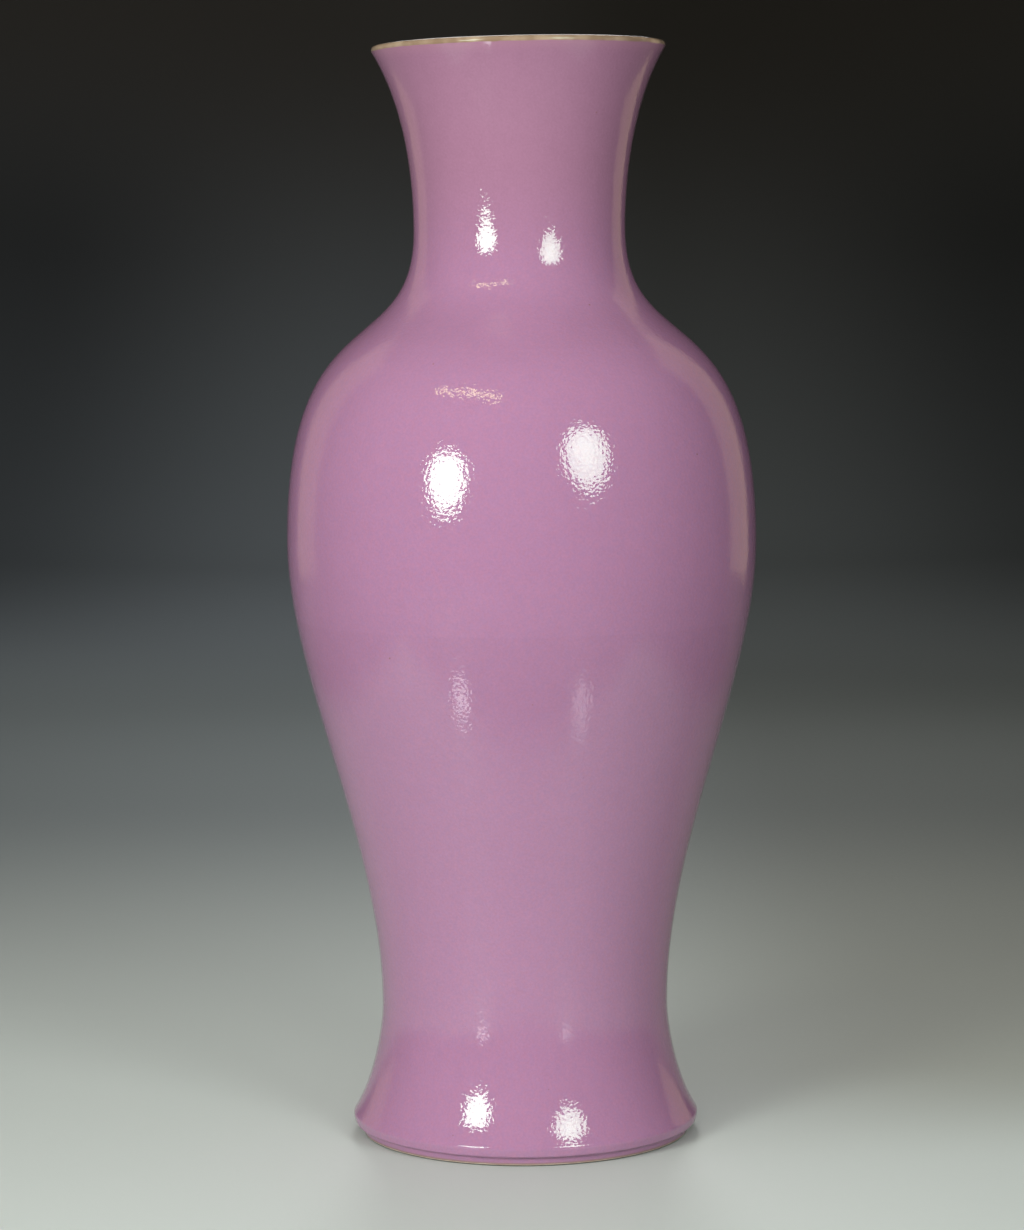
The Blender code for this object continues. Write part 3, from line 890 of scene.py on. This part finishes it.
def table():
    """A flat floor that curves up into a wall all round."""
    flat = straight(Vector((0.0, 0.0)), Vector((TABLE_FLAT, 0.0)), 30)
    pull = TABLE_REACH - TABLE_FLAT
    corner, top = Vector((TABLE_REACH, 0.0)), Vector((TABLE_REACH, TABLE_RISE))
    points = flat + curve(flat[-1], flat[-1].lerp(corner, 0.8), corner.lerp(top, 0.2), top, 40)
    faces_round = 128
    spots = [(0.0, 0.0, -HAIR)]
    for p in points:
        for i in range(faces_round):
            angle = i * math.tau / faces_round
            spots.append((p.x * math.cos(angle), p.x * math.sin(angle), p.y - HAIR))
    corners = []
    for i in range(faces_round):
        after = (i + 1) % faces_round
        corners.append((0, 1 + i, 1 + after))
        for ring in range(len(points) - 1):
            a, b = 1 + ring * faces_round, 1 + (ring + 1) * faces_round
            corners.append((a + i, b + i, b + after, a + after))
    mesh = bpy.data.meshes.new("table")
    mesh.from_pydata(spots, [], corners)
    mesh.shade_smooth()
    mesh.materials.append(finish("pale_board", table_look))
    made = bpy.data.objects.new("table", mesh)
    bpy.context.scene.collection.objects.link(made)


def panel(name, place, size, radiance, colour=(1.0, 1.0, 1.0), shape="RECTANGLE", mirrored=True,
          lighting=True):
    """A soft panel of light that faces the vase, as wide and high as its size, and of that radiance.

    One that isn't mirrored only lights, and one that isn't lighting only shows as a highlight.
    """
    lamp = bpy.data.lights.new(name, "AREA")
    lamp.shape = shape
    lamp.size, lamp.size_y = size
    area = size[0] * size[1] * (1.0 if shape == "RECTANGLE" else math.pi / 4)
    lamp.energy = radiance * math.pi * area
    lamp.color = colour
    made = bpy.data.objects.new(name, lamp)
    place = Vector(place)
    turn = (AIM - place).to_track_quat("-Z", "Y")
    made.matrix_world = Matrix.Translation(place) @ turn.to_matrix().to_4x4()
    made.visible_camera = False
    made.visible_glossy = mirrored
    made.visible_diffuse = lighting
    bpy.context.scene.collection.objects.link(made)


def lights():
    """Two round soft lights in front, a warm strip above, and dimmer panels at the sides and behind.

    Each round light is two lamps: the one that shows as the highlight, and the glow that lights.
    The two spills are patches of light on the board, which the belly mirrors.
    """
    panel("left_light", (-0.640, -0.881, 0.495), (0.37, 0.34), 15.0, GLINT, "ELLIPSE", lighting=False)
    panel("left_glow", (-0.640, -0.881, 0.495), (0.41, 0.36), 21.2, COOL, "ELLIPSE", mirrored=False)
    panel("right_light", (0.536, -0.862, 0.630), (0.41, 0.42), 10.0, GLINT, "ELLIPSE", lighting=False)
    panel("right_core", (0.520, -0.850, 0.645), (0.20, 0.24), 2.5, GLINT, "ELLIPSE", lighting=False)
    panel("right_glow", (0.536, -0.862, 0.625), (0.40, 0.38), 11.2, COOL, "ELLIPSE", mirrored=False)
    panel("front_fill", (-0.15, -1.40, 0.55), (1.0, 0.5), 4.0, mirrored=False)
    panel("warm_strip", (-0.450, -0.620, 1.200), (0.60, 0.055), 8.0, STRAW)
    panel("left_spill", (-0.184, -0.297, 0.010), (0.042, 0.040), 4.0, lighting=False)
    panel("right_spill", (0.160, -0.289, 0.010), (0.042, 0.054), 1.7, lighting=False)
    panel("top_fill", (0.0, 0.0, 2.00), (2.0, 2.0), 0.52, mirrored=False)
    panel("left_fill", (-1.45, -0.15, 0.60), (1.0, 1.0), 0.56, mirrored=False)
    panel("right_fill", (1.45, -0.15, 0.60), (1.0, 1.0), 0.13, mirrored=False)
    panel("left_side", (-1.18, 0.93, 0.60), (0.60, 1.8), 0.40, WARM, lighting=False)
    panel("right_side", (1.14, 0.98, 0.60), (0.66, 1.8), 0.50, WARM, lighting=False)
    panel("rear_light", (0.0, 1.60, 1.10), (0.40, 0.70), 6.0)
    panel("rear_fill", (0.40, 1.30, 0.75), (1.0, 0.5), 1.0, mirrored=False)
    world = bpy.data.worlds.new("dim_room")
    world.use_nodes = True
    shade = world.node_tree.nodes["Background"]
    shade.inputs["Color"].default_value = ROOM_COLOUR
    shade.inputs["Strength"].default_value = ROOM_LIGHT
    bpy.context.scene.world = world


def camera():
    """The camera in front of the vase, a little above its middle and tilted down."""
    lens = bpy.data.cameras.new("camera")
    lens.sensor_width = FILM_WIDTH
    lens.lens = LENS
    made = bpy.data.objects.new("camera", lens)
    tilt = Matrix.Rotation(math.pi / 2 - CAMERA_TILT, 4, "X")
    roll = Matrix.Rotation(CAMERA_ROLL, 4, "Z")
    made.matrix_world = Matrix.Translation(CAMERA_PLACE) @ tilt @ roll
    bpy.context.scene.collection.objects.link(made)
    bpy.context.scene.camera = made


table()
lights()
camera()
bpy.context.scene.view_settings.view_transform = "Standard"
